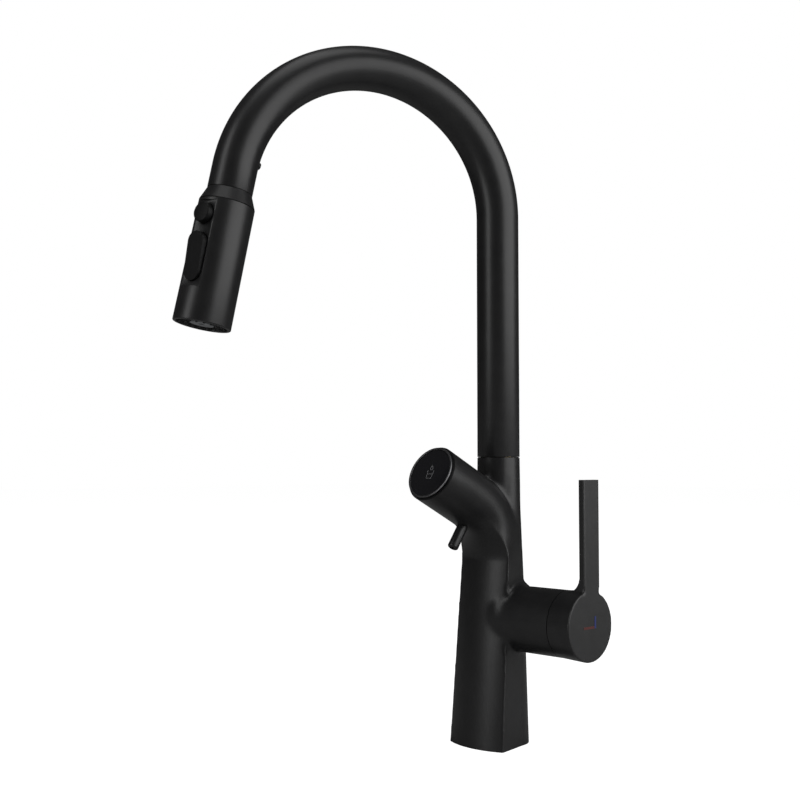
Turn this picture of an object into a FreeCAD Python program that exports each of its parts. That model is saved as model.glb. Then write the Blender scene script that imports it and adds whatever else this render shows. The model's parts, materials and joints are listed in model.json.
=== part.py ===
import FreeCAD, Part
import math
import os
import re
import Sketcher

# Pull-down kitchen faucet with a side lever and a second, push-button outlet for filtered water.
# Origin: centre of the round column at the underside of the base. +Z up, -Y front, +X lever side.

doc = FreeCAD.newDocument("pull_down_faucet")
sheet = doc.addObject("Spreadsheet::Sheet", "Dims")

DRIVING = {
    # body
    "base_half_width": 22.97, "base_corner_depth": 23.27, "base_bulge": 5.8,
    "waist_half_width": 20.8, "waist_corner_depth": 15.2, "waist_bulge": 4.6,
    "waist_height": 105.0, "column_radius_low": 19.1, "column_radius_waist": 16.3,
    "column_radius_shoulder": 14.45, "shoulder_height": 152.0, "seam_height": 185.8,
    "bend_forward": 6.0, "bend_radius": 45.0,
    "shell_wall": 3.0, "chamber_top": 118.0, "gasket_thickness": 1.2, "gasket_inset": 1.4,
    "socket_radius": 15.2, "socket_depth": 13.0, "socket_rim": 16.2,
    "manifold_thickness": 10.0, "manifold_radius": 14.9,
    "inlet_radius": 3.5, "inlet_side": 8.4, "inlet_depth": 6.9, "filter_inlet_depth": 11.1,
    "hose_passage_radius": 6.2, "pipe_radius": 2.0, "pipe_wall": 0.5,
    "bearing_radius": 12.0,
    # filtered-water nozzle
    "nozzle_rise": 26.33, "nozzle_reach": 65.3, "nozzle_height": 176.6, "nozzle_radius": 18.5,
    "rim_setback": 2.2, "nozzle_bore_radius": 16.7, "nozzle_bore_depth": 15.1,
    "valve_bore_radius": 12.1, "valve_bore_depth": 41.0,
    "button_ring_radius": 17.3, "button_face_radius": 16.0, "button_flange": 0.8,
    "outlet_radius": 3.5, "outlet_bore": 2.5, "outlet_length": 21.5, "outlet_fall": 54.0,
    # lever side
    "boss_height": 81.6, "boss_radius": 21.15, "boss_end": 56.5, "cartridge_radius": 12.5,
    "nut_radius": 17.2, "stem_radius": 4.0, "lever_start": 57.0, "lever_face": 74.4,
    "lever_half_width": 7.6, "lever_thickness": 4.4, "lever_rise": 90.3, "lever_offset": 2.0,
    "lever_radius": 22.0, "lever_rim": 1.7,
    # gooseneck
    "tube_radius": 14.0, "tube_wall": 1.2, "tube_start": 186.4, "arc_height": 345.67,
    "arc_radius": 91.25, "arc_sweep": 168.6, "tube_end_length": 15.6, "spout_turn": 21.83,
    "lock_height": 22.0, "sleeve_radius": 11.9, "sleeve_bore": 8.5, "hose_radius": 4.5, "hose_bore": 3.0,
    # spray head
    "head_turn": 33.0, "head_gap": 0.3, "cone_length": 8.2, "head_top_radius": 17.3,
    "head_low_radius": 17.9, "head_length": 84.8, "head_wall": 2.0, "facet_distance": 15.9,
    "facet_end": 64.5, "round_button_radius": 6.2, "round_button_place": 19.2,
    "rocker_place": 46.3, "rocker_length": 30.0, "rocker_width": 12.4,
    "button_stand": 4.2, "rocker_low_stand": 1.3,
    "core_radius": 10.5,
}
for row, (alias, value) in enumerate(DRIVING.items(), start=1):
    sheet.set("A%d" % row, alias)
    sheet.set("B%d" % row, str(value))
    sheet.setAlias("B%d" % row, alias)
doc.recompute()

NODES = []


def dim(alias):
    return float(sheet.get(alias))


def bound(text):
    """Turn an expression in sheet aliases into one that names the sheet."""
    return re.sub(r"[a-z][a-z_0-9]*", r"Dims.\g<0>", text)


def valued(text):
    """The number that an expression in sheet aliases stands for now."""
    total = 0.0
    for sign, term in re.findall(r"([+-]?)\s*([a-z_0-9.]+)", text):
        amount = dim(term) if term[0].isalpha() else float(term)
        total += -amount if sign == "-" else amount
    return total


def node(shape_object, name, placement=None):
    """Register a document object as one named sub-part."""
    shape_object.Label = name
    if placement is not None:
        shape_object.Placement = placement
    NODES.append(shape_object)
    return shape_object


def frame_at(origin, along, across):
    """Placement whose Z runs along one direction, with X as near as it can be to another."""
    side = along.cross(across)
    rotation = FreeCAD.Rotation(across, side, along, "ZXY")
    return FreeCAD.Placement(origin, rotation)


def origin_plane(body, role):
    return next(plane for plane in body.Origin.OriginFeatures if plane.Role == role)


def outline_sketch(body, name, corners, role):
    """Closed polygon whose corners are (across, up) expressions measured from the body's origin."""
    sketch = body.newObject("Sketcher::SketchObject", name)
    sketch.AttachmentSupport = [(origin_plane(body, role), "")]
    sketch.MapMode = "FlatFace"
    points = [FreeCAD.Vector(valued(across), valued(up), 0) for across, up in corners]
    count = len(points)
    for index in range(count):
        sketch.addGeometry(Part.LineSegment(points[index], points[(index + 1) % count]), False)
    for index in range(count):
        sketch.addConstraint(Sketcher.Constraint("Coincident", index, 2, (index + 1) % count, 1))
    for index, (across, up) in enumerate(corners):
        for kind, axis_line, text in (("DistanceX", -2, across), ("DistanceY", -1, up)):
            if valued(text) == 0:
                sketch.addConstraint(Sketcher.Constraint("PointOnObject", index, 1, axis_line))
                continue
            number = sketch.addConstraint(Sketcher.Constraint(kind, -1, 1, index, 1, valued(text)))
            sketch.setExpression("Constraints[%d]" % number, bound(text))
    return sketch


def turned(name, corners, placement):
    """A part of round section: an outline of (radius, height) turned about the local Z axis."""
    body = doc.addObject("PartDesign::Body", name)
    sketch = outline_sketch(body, name + "_outline", corners, "XZ_Plane")
    revolution = body.newObject("PartDesign::Revolution", name + "_turn")
    revolution.Profile = sketch
    revolution.ReferenceAxis = (sketch, ["V_Axis"])
    revolution.Angle = 360
    body.Tip = revolution
    return node(body, name, placement)


def ring(name, inner, outer, low, high, placement):
    return turned(name, [(inner, low), (outer, low), (outer, high), (inner, high)], placement)


def drilled_cylinder(radius, length, placement):
    solid = Part.makeCylinder(radius, length)
    solid.Placement = placement
    return solid


def shaped(name, shape, placement=None):
    """A part whose form needs lofts or sweeps; its sizes are read from the sheet."""
    feature = doc.addObject("Part::Feature", name)
    feature.Shape = shape
    return node(feature, name, placement)


def rod_along(points, bends, radius):
    """A round rod through points, with each corner rounded to the bend radius given for it."""
    edges = []
    start = points[0]
    for corner, before, after, bend in zip(points[1:-1], points[:-2], points[2:], bends):
        back = (before - corner).normalize()
        ahead = (after - corner).normalize()
        half = back.getAngle(ahead) / 2
        first = corner + back * (bend / math.tan(half))
        last = corner + ahead * (bend / math.tan(half))
        middle = corner + (back + ahead).normalize() * (bend / math.sin(half) - bend)
        edges.append(Part.LineSegment(start, first).toShape())
        edges.append(Part.Arc(first, middle, last).toShape())
        start = last
    edges.append(Part.LineSegment(start, points[-1]).toShape())
    section = Part.Wire(Part.makeCircle(radius, points[0], (points[1] - points[0]).normalize()))
    return Part.Wire(edges).makePipeShell([section], True, True)


def tube_along(points, bends):
    """A water pipe through points, in the size that all the pipes in the body share."""
    outer = rod_along(points, bends, dim("pipe_radius"))
    return outer.cut(rod_along(points, bends, dim("pipe_radius") - dim("pipe_wall")))


# ---------------------------------------------------------------- frames

UP = FreeCAD.Vector(0, 0, 1)
RIGHT = FreeCAD.Vector(1, 0, 0)
BACK = FreeCAD.Vector(0, 1, 0)

DECK = FreeCAD.Placement()
LEVER = frame_at(FreeCAD.Vector(0, 0, dim("boss_height")), RIGHT, UP)

rise = math.radians(dim("nozzle_rise"))
NOZZLE_OUT = FreeCAD.Vector(0, -math.cos(rise), math.sin(rise))
NOZZLE_DOWN = FreeCAD.Vector(0, -math.sin(rise), -math.cos(rise))
NOZZLE_RING = FreeCAD.Vector(0, -dim("nozzle_reach"), dim("nozzle_height"))
NOZZLE = frame_at(NOZZLE_RING, NOZZLE_OUT * -1, RIGHT)

SPOUT = FreeCAD.Placement(FreeCAD.Vector(), FreeCAD.Rotation(UP, -dim("spout_turn")))
sweep = math.radians(dim("arc_sweep"))
spout_out = SPOUT.Rotation.multVec(BACK * -1)
HEAD_DOWN = spout_out * math.sin(sweep) + UP * math.cos(sweep)
HEAD_OUT = spout_out * -math.cos(sweep) + UP * math.sin(sweep)
ARC_END = (
    spout_out * (dim("arc_radius") * (1 - math.cos(sweep)))
    + UP * (dim("arc_height") + dim("arc_radius") * math.sin(sweep))
)
TUBE_END = ARC_END + HEAD_DOWN * dim("tube_end_length")
FACET_OUT = FreeCAD.Rotation(HEAD_DOWN, dim("head_turn")).multVec(HEAD_OUT)
if FACET_OUT.x < HEAD_OUT.x:
    FACET_OUT = FreeCAD.Rotation(HEAD_DOWN, -dim("head_turn")).multVec(HEAD_OUT)
HEAD = frame_at(TUBE_END, HEAD_DOWN, FACET_OUT)
DOCK = frame_at(TUBE_END, HEAD_DOWN * -1, FACET_OUT)


def lifted(frame, distance):
    """The same frame moved along its own Z axis."""
    return frame.multiply(FreeCAD.Placement(UP * distance, FreeCAD.Rotation()))


# ---------------------------------------------------------------- body shell

MANIFOLD_TOP = dim("socket_depth") + dim("manifold_thickness")


def column_radius(height):
    """Radius of the round column behind the trunk, at one height up to the shoulder."""
    share = height / dim("waist_height")
    low = dim("column_radius_low")
    return low + (dim("column_radius_waist") - low) * share


def trunk_marks(height, inset=0.0):
    """Half outline of a horizontal trunk section, as (across, forward) from the column's axis.

    The marks are the nose, the arris, the middle of the side, the rear corner and the rear point.
    The rear corner lies just inside the column, where the straight side would touch it.
    """
    share = height / dim("waist_height")
    half_width = dim("base_half_width") + (dim("waist_half_width") - dim("base_half_width")) * share - inset
    forward = dim("base_corner_depth") + (dim("waist_corner_depth") - dim("base_corner_depth")) * share - inset
    bulge = dim("base_bulge") + (dim("waist_bulge") - dim("base_bulge")) * share
    column = column_radius(height) - inset
    bearing = math.acos(column / math.hypot(half_width, forward)) - math.atan2(forward, half_width)
    hidden = column * 0.985
    rear_corner = (hidden * math.cos(bearing), -hidden * math.sin(bearing))
    side_swell = 0.04
    side = ((half_width + rear_corner[0]) / 2 + side_swell, (forward + rear_corner[1]) / 2)
    return [(0, forward + bulge), (half_width, forward), side, rear_corner, (0, -hidden * 0.97)]


def round_marks(radius):
    """The same marks on a circle about the nozzle's line."""
    angles = [math.radians(angle) for angle in (0, 52, 85, 118, 180)]
    return [(radius * math.sin(angle), radius * math.cos(angle)) for angle in angles]


def marked_wire(marks, centre, forward):
    """Closed section of four arcs, the same on both sides of the middle plane."""
    nose, arris, side, corner, rear = [
        centre + RIGHT * across + forward * ahead for across, ahead in marks]
    left_arris, left_side, left_corner = [
        centre - RIGHT * across + forward * ahead for across, ahead in marks[1:4]]
    return Part.Wire([
        Part.Arc(left_arris, nose, arris).toShape(),
        Part.Arc(arris, side, corner).toShape(),
        Part.Arc(corner, rear, left_corner).toShape(),
        Part.Arc(left_corner, left_side, left_arris).toShape(),
    ])


def trunk_solid():
    """Trunk that rises from the base and curves forward into the nozzle barrel."""
    centre_line = dim("bend_forward")
    crossing = (dim("nozzle_reach") - centre_line) / math.cos(rise)
    crossing_height = dim("nozzle_height") - crossing * math.sin(rise)
    turn = math.pi / 2 - rise
    setback = dim("bend_radius") * math.tan(turn / 2)
    bend_start = crossing_height - setback
    sections = []
    steps = 6
    for step in range(steps):
        height = bend_start * step / steps
        sections.append(marked_wire(trunk_marks(height), UP * height, BACK * -1))
    waist = [(across, ahead - centre_line) for across, ahead in trunk_marks(bend_start)]
    barrel = round_marks(dim("nozzle_radius"))
    bends = 5
    for step in range(bends + 1):
        share = step / bends
        angle = turn * share
        blend = share * share * (3 - 2 * share)
        centre = FreeCAD.Vector(0, -centre_line - dim("bend_radius") * (1 - math.cos(angle)),
                                bend_start + dim("bend_radius") * math.sin(angle))
        forward = FreeCAD.Vector(0, -math.cos(angle), -math.sin(angle))
        marks = [(first[0] + (last[0] - first[0]) * blend, first[1] + (last[1] - first[1]) * blend)
                 for first, last in zip(waist, barrel)]
        sections.append(marked_wire(marks, centre, forward))
    for part in (0.33, 0.67, 1.0):
        reach = (crossing - setback) * (1 - part) + dim("rim_setback") * part
        sections.append(marked_wire(barrel, NOZZLE_RING - NOZZLE_OUT * reach, NOZZLE_DOWN))
    return Part.makeLoft(sections, True, False)


def body_shell():
    seam = dim("seam_height")
    shoulder = dim("shoulder_height")
    profile = [
        (0, 0), (dim("column_radius_low"), 0), (dim("column_radius_waist"), dim("waist_height")),
        (dim("column_radius_shoulder"), shoulder), (dim("tube_radius"), seam), (0, seam),
    ]
    corners = [FreeCAD.Vector(radius, 0, height) for radius, height in profile]
    column = Part.Face(Part.makePolygon(corners + corners[:1])).revolve(FreeCAD.Vector(), UP, 360)
    shell = trunk_solid().fuse(column)
    boss_cone = Part.makeCone(14.0, dim("boss_radius"), 8.0, FreeCAD.Vector(), UP)
    boss_cone.Placement = lifted(LEVER, 12.0)
    boss = drilled_cylinder(dim("boss_radius"), dim("boss_end") - 20.0, lifted(LEVER, 20.0))
    socket = Part.makeCylinder(dim("socket_radius"), dim("socket_depth"))
    manifold_seat = Part.makeCylinder(dim("manifold_radius") + 0.05, MANIFOLD_TOP)
    bearing = Part.makeCylinder(dim("bearing_radius"), seam - 130.0, FreeCAD.Vector(0, 0, 130.0))
    passage = Part.makeCylinder(dim("hose_passage_radius") + 0.4, 110.0, FreeCAD.Vector(0, 0, 22.0))
    seat = drilled_cylinder(dim("cartridge_radius") + 0.1, 40.0, lifted(LEVER, 17.0))
    nut_bore = drilled_cylinder(dim("nut_radius") + 0.1, 20.0, lifted(LEVER, 44.0))
    barrel_bore = drilled_cylinder(dim("nozzle_bore_radius"), dim("nozzle_bore_depth"), NOZZLE)
    gasket_groove = base_plate(dim("gasket_inset"), dim("gasket_thickness") + 0.05)
    gasket_groove = gasket_groove.cut(Part.makeCylinder(dim("socket_rim"), dim("gasket_thickness") + 0.05))
    chamber_half = dim("waist_half_width") - dim("shell_wall") - 0.6
    chamber_depth = dim("waist_corner_depth") - dim("shell_wall")
    chamber = Part.makeBox(chamber_half * 2, chamber_depth, dim("chamber_top") - MANIFOLD_TOP,
                           FreeCAD.Vector(-chamber_half, -chamber_depth - 1.5, MANIFOLD_TOP))
    round_chamber = Part.makeCylinder(dim("column_radius_waist") - dim("shell_wall"),
                                      dim("chamber_top") - MANIFOLD_TOP, UP * MANIFOLD_TOP)
    valve_bore = drilled_cylinder(dim("valve_bore_radius"), dim("valve_bore_depth"), NOZZLE)
    for tool in (socket, manifold_seat, bearing, chamber, round_chamber, barrel_bore, valve_bore, gasket_groove):
        shell = shell.cut(tool)
    shell = shell.fuse([boss_cone, boss])
    cuts = [passage, seat, nut_bore]
    for level in (-5.5, 5.5):
        port = Part.makeCylinder(dim("pipe_radius") + 0.05, 12.0)
        port.Placement = FreeCAD.Placement(
            FreeCAD.Vector(10.0, -dim("inlet_depth"), dim("boss_height") + level), LEVER.Rotation)
        cuts.append(port)
    cuts.append(rod_along(*filter_route(), dim("pipe_radius") + 0.15))
    cuts.append(drilled_cylinder(dim("outlet_radius") + 0.05, 30.0, OUTLET))
    for tool in cuts:
        shell = shell.cut(tool)
    return shell


def filter_route():
    """Line of the filtered-water pipe: up inside the trunk, then forward into the push valve."""
    across = -dim("filter_inlet_depth")
    rear = NOZZLE_RING - NOZZLE_OUT * 40.2
    corner_height = 112.0
    last_straight = 10.0
    path = [
        FreeCAD.Vector(0, across, MANIFOLD_TOP), FreeCAD.Vector(0, across, corner_height),
        rear - NOZZLE_OUT * last_straight, rear,
    ]
    return path, [20.0, 6.0]


def base_plate(inset, thickness):
    """Flat plate of the base's outline, drawn in by an inset."""
    floor_wire = marked_wire(trunk_marks(0.0, inset), FreeCAD.Vector(), BACK * -1)
    plate = Part.Face(floor_wire).extrude(UP * thickness)
    round_back = Part.makeCylinder(dim("column_radius_low") - inset, thickness)
    return plate.fuse(round_back).removeSplitter()


fall = math.radians(dim("outlet_fall"))
OUTLET_OUT = FreeCAD.Vector(0, -math.cos(fall), -math.sin(fall))
OUTLET_MOUTH = FreeCAD.Vector(0, -44.9, 128.3)
OUTLET = frame_at(OUTLET_MOUTH - OUTLET_OUT * dim("outlet_length"), OUTLET_OUT, RIGHT)

shaped("body_shell", body_shell())

gasket = base_plate(dim("gasket_inset") + 0.05, dim("gasket_thickness"))
shaped("base_gasket", gasket.cut(Part.makeCylinder(dim("socket_rim") + 0.3, dim("gasket_thickness"))))


# ---------------------------------------------------------------- waterways in the body

def inlet_manifold():
    floor = dim("socket_depth")
    block = Part.makeCylinder(dim("manifold_radius"), dim("manifold_thickness"), UP * floor)
    holes = [Part.makeCylinder(dim("hose_passage_radius"), 20.0, FreeCAD.Vector(0, 0, floor - 5))]
    side = dim("inlet_side")
    depth = dim("inlet_depth")
    for across, along in ((-side, -depth), (side, -depth), (0, -dim("filter_inlet_depth"))):
        thread = Part.makeCylinder(dim("inlet_radius"), 7.0, FreeCAD.Vector(across, along, floor))
        neck = Part.makeCylinder(dim("pipe_radius") - dim("pipe_wall"), 12.0, FreeCAD.Vector(across, along, floor))
        holes += [thread, neck]
    return block.cut(holes)


def inlet_pipe(side, level):
    across = side * dim("inlet_side")
    along = -dim("inlet_depth")
    height = dim("boss_height") + level
    path = [
        FreeCAD.Vector(across, along, MANIFOLD_TOP),
        FreeCAD.Vector(across, along, height),
        FreeCAD.Vector(17.0, along, height),
    ]
    return tube_along(path, [4.0])


shaped("inlet_manifold", inlet_manifold())
shaped("hot_pipe", inlet_pipe(-1, 5.5))
shaped("cold_pipe", inlet_pipe(1, -5.5))
shaped("filter_pipe", tube_along(*filter_route()))


# ---------------------------------------------------------------- cartridge and lever

ring("cartridge_seal", "2.0", "cartridge_radius", "17.0", "18.2", LEVER)
turned("cartridge_body", [
    ("0", "18.2"), ("cartridge_radius", "18.2"), ("cartridge_radius", "44.0"), ("10.5", "44.0"),
    ("10.5", "48.0"), ("stem_radius + 0.3", "48.0"), ("stem_radius + 0.3", "40.0"), ("0", "40.0"),
], LEVER)
ring("cartridge_nut", "10.6", "nut_radius", "44.0", "50.0", LEVER)
ring("cartridge_cover", "6.0", "nut_radius", "50.2", "55.6", LEVER)
turned("cartridge_stem", [
    ("0", "41.0"), ("stem_radius", "41.0"), ("stem_radius", "64.0"), ("0", "64.0"),
], LEVER)


def lever_handle():
    """Hub that covers the cartridge and a flat arm rising flush with the hub's outer face."""
    body = doc.addObject("PartDesign::Body", "lever_handle")
    hub_sketch = outline_sketch(body, "lever_hub_outline", [
        ("0", "64.0"), ("stem_radius + 0.05", "64.0"), ("stem_radius + 0.05", "lever_start + 0.6"),
        ("9.0", "lever_start + 0.6"), ("9.0", "66.0"), ("18.4", "66.0"), ("18.4", "lever_start"),
        ("boss_radius", "lever_start"), ("lever_radius", "lever_face - lever_rim"),
        ("lever_radius - lever_rim", "lever_face"), ("0", "lever_face"),
    ], "XZ_Plane")
    hub = body.newObject("PartDesign::Revolution", "lever_hub")
    hub.Profile = hub_sketch
    hub.ReferenceAxis = (hub_sketch, ["V_Axis"])
    hub.Angle = 360
    arm_sketch = outline_sketch(body, "lever_arm_outline", [
        ("0", "lever_offset + lever_half_width"), ("lever_rise - 1.5", "lever_offset + lever_half_width"),
        ("lever_rise", "lever_offset + lever_half_width - 1.5"),
        ("lever_rise", "lever_offset - lever_half_width + 1.5"),
        ("lever_rise - 1.5", "lever_offset - lever_half_width"), ("0", "lever_offset - lever_half_width"),
    ], "XY_Plane")
    arm_sketch.AttachmentOffset = FreeCAD.Placement(
        FreeCAD.Vector(0, 0, dim("lever_face") - dim("lever_thickness")), FreeCAD.Rotation())
    arm = body.newObject("PartDesign::Pad", "lever_arm")
    arm.Profile = arm_sketch
    arm.setExpression("Length", bound("lever_thickness"))
    screw_sketch = body.newObject("Sketcher::SketchObject", "screw_hole_outline")
    screw_sketch.AttachmentSupport = [(origin_plane(body, "YZ_Plane"), "")]
    screw_sketch.MapMode = "FlatFace"
    screw_sketch.addGeometry(Part.Circle(FreeCAD.Vector(0, 61.5, 0), UP, 2.1), False)
    hole = body.newObject("PartDesign::Pocket", "screw_hole")
    hole.Profile = screw_sketch
    hole.Type = "ThroughAll"
    hole.Reversed = False
    body.Tip = hole
    return node(body, "lever_handle", LEVER)


lever_handle()
SCREW = frame_at(LEVER.Base + RIGHT * 61.5, UP * -1, RIGHT)
ring("handle_set_screw", "0.9", "2.0", "stem_radius", "14.0", SCREW)
turned("handle_screw_plug", [("0", "18.6"), ("2.0", "18.6"), ("2.0", "20.9"), ("0", "20.9")], SCREW)


def mark_bar(name, low, size):
    """Small coloured bar inlaid in the lever's face."""
    bar = doc.addObject("Part::Box", name)
    bar.Length = size.x
    bar.Width = size.y
    bar.Height = size.z
    return node(bar, name, FreeCAD.Placement(low, FreeCAD.Rotation()))


FACE_X = dim("lever_face")
mark_bar("cold_mark", FreeCAD.Vector(FACE_X, 4.0, 80.3), FreeCAD.Vector(0.12, 1.5, 7.4))
mark_bar("hot_mark", FreeCAD.Vector(FACE_X, -6.9, 80.3), FreeCAD.Vector(0.12, 10.8, 1.5))


# ---------------------------------------------------------------- push valve in the nozzle

turned("push_valve_body", [
    ("0", "40.0"), ("12.0", "40.0"), ("12.0", "15.0"), ("nozzle_bore_radius - 0.1", "15.0"),
    ("nozzle_bore_radius - 0.1", "9.5"), ("9.0", "9.5"), ("9.0", "22.0"), ("4.3", "22.0"), ("4.3", "36.0"),
    ("0", "36.0"),
], NOZZLE)
ring("valve_retainer", "11.0", "nozzle_bore_radius - 0.1", "7.6", "9.4", NOZZLE)
turned("push_valve_stem", [
    ("0", "4.6"), ("4.0", "4.6"), ("4.0", "33.0"), ("0", "33.0"),
], NOZZLE)
ring("push_valve_spring", "5.6", "6.8", "5.3", "21.8", NOZZLE)
turned("button_ring", [
    ("button_face_radius + 0.05", "0.0"), ("button_ring_radius", "0.0"), ("button_ring_radius", "button_flange"),
    ("nozzle_bore_radius - 0.2", "button_flange"), ("nozzle_bore_radius - 0.2", "4.4"),
    ("button_face_radius + 0.05", "4.4"),
], NOZZLE)
turned("filter_button", [
    ("0", "0.5"), ("button_face_radius", "0.5"), ("button_face_radius", "4.6"), ("0", "4.6"),
], NOZZLE)
ring("filter_outlet_tube", "outlet_bore", "outlet_radius", "0.0", "outlet_length", OUTLET)
turned("filter_outlet_tip", [
    ("0.8", "outlet_length - 5.0"), ("outlet_bore", "outlet_length - 5.0"), ("outlet_bore", "outlet_length - 0.4"),
    ("0.8", "outlet_length - 0.4"),
], OUTLET)


# ---------------------------------------------------------------- gooseneck

def gooseneck_tube():
    """Hollow tube: a straight riser, a near half-circle arc and a short straight end."""
    body = doc.addObject("PartDesign::Body", "gooseneck_tube")
    section = body.newObject("Sketcher::SketchObject", "tube_section")
    section.AttachmentSupport = [(origin_plane(body, "XY_Plane"), "")]
    section.MapMode = "FlatFace"
    section.AttachmentOffset = FreeCAD.Placement(UP * dim("tube_start"), FreeCAD.Rotation())
    section.setExpression("AttachmentOffset.Base.z", bound("tube_start"))
    for text in ("tube_radius", "tube_radius - tube_wall"):
        circle = section.addGeometry(Part.Circle(FreeCAD.Vector(), UP, valued(text)), False)
        section.addConstraint(Sketcher.Constraint("Coincident", circle, 3, -1, 1))
        number = section.addConstraint(Sketcher.Constraint("Radius", circle, valued(text)))
        section.setExpression("Constraints[%d]" % number, bound(text))
    path = body.newObject("Sketcher::SketchObject", "tube_path")
    path.AttachmentSupport = [(origin_plane(body, "YZ_Plane"), "")]
    path.MapMode = "FlatFace"
    radius = dim("arc_radius")
    top = dim("arc_height")
    centre = FreeCAD.Vector(-radius, top, 0)
    finish = FreeCAD.Vector(-radius * (1 - math.cos(sweep)), top + radius * math.sin(sweep), 0)
    heading = FreeCAD.Vector(-math.sin(sweep), math.cos(sweep), 0)
    path.addGeometry(Part.LineSegment(FreeCAD.Vector(0, dim("tube_start"), 0), FreeCAD.Vector(0, top, 0)), False)
    path.addGeometry(Part.ArcOfCircle(Part.Circle(centre, UP, radius), 0, sweep), False)
    path.addGeometry(Part.LineSegment(finish, finish + heading * dim("tube_end_length")), False)
    path.addConstraint(Sketcher.Constraint("Tangent", 0, 2, 1, 1))
    path.addConstraint(Sketcher.Constraint("Tangent", 1, 2, 2, 1))
    path.addConstraint(Sketcher.Constraint("PointOnObject", 0, 1, -2))
    path.addConstraint(Sketcher.Constraint("Vertical", 0))
    for kind, parts, text in (
        ("DistanceY", (-1, 1, 0, 1), "tube_start"), ("DistanceY", (-1, 1, 0, 2), "arc_height"),
        ("Radius", (1,), "arc_radius"), ("Distance", (2,), "tube_end_length"),
    ):
        number = path.addConstraint(Sketcher.Constraint(kind, *parts, valued(text)))
        path.setExpression("Constraints[%d]" % number, bound(text))
    pipe = body.newObject("PartDesign::AdditivePipe", "tube_sweep")
    pipe.Profile = section
    pipe.Spine = (path, ["Edge1", "Edge2", "Edge3"])
    body.Tip = pipe
    return node(body, "gooseneck_tube", SPOUT)


gooseneck_tube()
turned("swivel_sleeve", [
    ("sleeve_bore", "150.0"), ("sleeve_radius", "150.0"), ("sleeve_radius", "155.0"), ("10.3", "155.0"),
    ("10.3", "157.6"), ("sleeve_radius", "157.6"), ("sleeve_radius", "172.0"), ("10.3", "172.0"),
    ("10.3", "174.6"), ("sleeve_radius", "174.6"), ("sleeve_radius", "tube_start"),
    ("tube_radius - tube_wall", "tube_start"), ("tube_radius - tube_wall", "202.0"), ("sleeve_bore", "202.0"),
], SPOUT)
ring("sleeve_lower_seal", "10.3", "sleeve_radius", "155.0", "157.6", SPOUT)
ring("sleeve_upper_seal", "10.3", "sleeve_radius", "172.0", "174.6", SPOUT)
ring("sleeve_snap_ring", "9.4", "sleeve_radius - 0.1", "148.2", "149.9", SPOUT)
ring("swivel_washer", "12.2", "13.5", "seam_height", "seam_height + 0.5", DECK)
turned("dock_collar", [
    ("10.3", "0.0"), ("tube_radius - tube_wall", "0.0"), ("tube_radius - tube_wall", "15.0"), ("12.1", "15.0"),
    ("12.1", "26.0"), ("11.45", "26.0"), ("11.45", "14.1"), ("10.3", "14.1"),
], DOCK)
ring("dock_magnet", "8.0", "11.4", "14.2", "18.2", DOCK)
ring("hose_guide_bush", "hose_radius + 0.7", "tube_radius - tube_wall", "202.2", "206.2", SPOUT)
lock_angle = sweep - (dim("lock_height") - dim("tube_end_length")) / dim("arc_radius")
lock_out = spout_out * -math.cos(lock_angle) + UP * math.sin(lock_angle)
lock_along = spout_out * math.sin(lock_angle) + UP * math.cos(lock_angle)
LOCK = frame_at(
    spout_out * dim("arc_radius") + UP * dim("arc_height") + lock_out * dim("arc_radius"),
    lock_out * -1, lock_along)
turned("dock_lock_screw", [
    ("0", "12.2"), ("1.6", "12.2"), ("1.6", "tube_radius"), ("2.15", "tube_radius"), ("2.15", "tube_radius + 0.7"),
    ("1.5", "tube_radius + 1.2"), ("0", "tube_radius + 1.2"),
], LOCK)


def pull_hose():
    """Braided hose at rest: up through the column and round the gooseneck to the spray head."""
    low = MANIFOLD_TOP - dim("manifold_thickness")
    radius = dim("hose_radius")
    top = dim("arc_height")
    connector_reach = 25.5 - dim("tube_end_length")
    turn = dim("arc_sweep") - math.degrees(connector_reach / dim("arc_radius"))
    hose = []
    for size in (radius, dim("hose_bore")):
        riser = Part.makeCylinder(size, top - low, UP * low)
        section = Part.Face(Part.Wire(Part.makeCircle(size, UP * top, UP)))
        bend = section.revolve(spout_out * dim("arc_radius") + UP * top, UP.cross(spout_out), turn)
        hose.append(riser.fuse(bend).removeSplitter())
    return hose[0].cut(hose[1])


shaped("pull_hose", pull_hose())


# ---------------------------------------------------------------- spray head

turned("spray_neck", [
    ("5.0", "0.0"), ("9.9", "0.0"), ("9.9", "12.0"), ("13.9", "12.0"), ("tube_radius", "12.3"),
    ("head_top_radius", "cone_length + 12.0"), ("head_top_radius - 2.0", "cone_length + 12.0"),
    ("9.0", "14.5"), ("5.0", "14.5"),
], lifted(HEAD, -11.7))
ring("neck_armature", "8.4", "9.85", "0.1", "2.0", lifted(HEAD, -14.0))
ring("connector_seal", "3.2", "7.0", "0.0", "0.9", lifted(HEAD, -12.7))
turned("hose_connector", [
    ("3.2", "0.0"), ("5.6", "0.0"), ("5.6", "4.0"), ("7.0", "4.0"), ("7.0", "11.0"), ("3.2", "11.0"),
], lifted(HEAD, -23.8))
turned("check_valve", [
    ("0", "0.0"), ("4.8", "0.0"), ("4.8", "9.0"), ("3.0", "9.0"), ("3.0", "2.0"), ("0", "2.0"),
], lifted(HEAD, -10.0))


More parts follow.
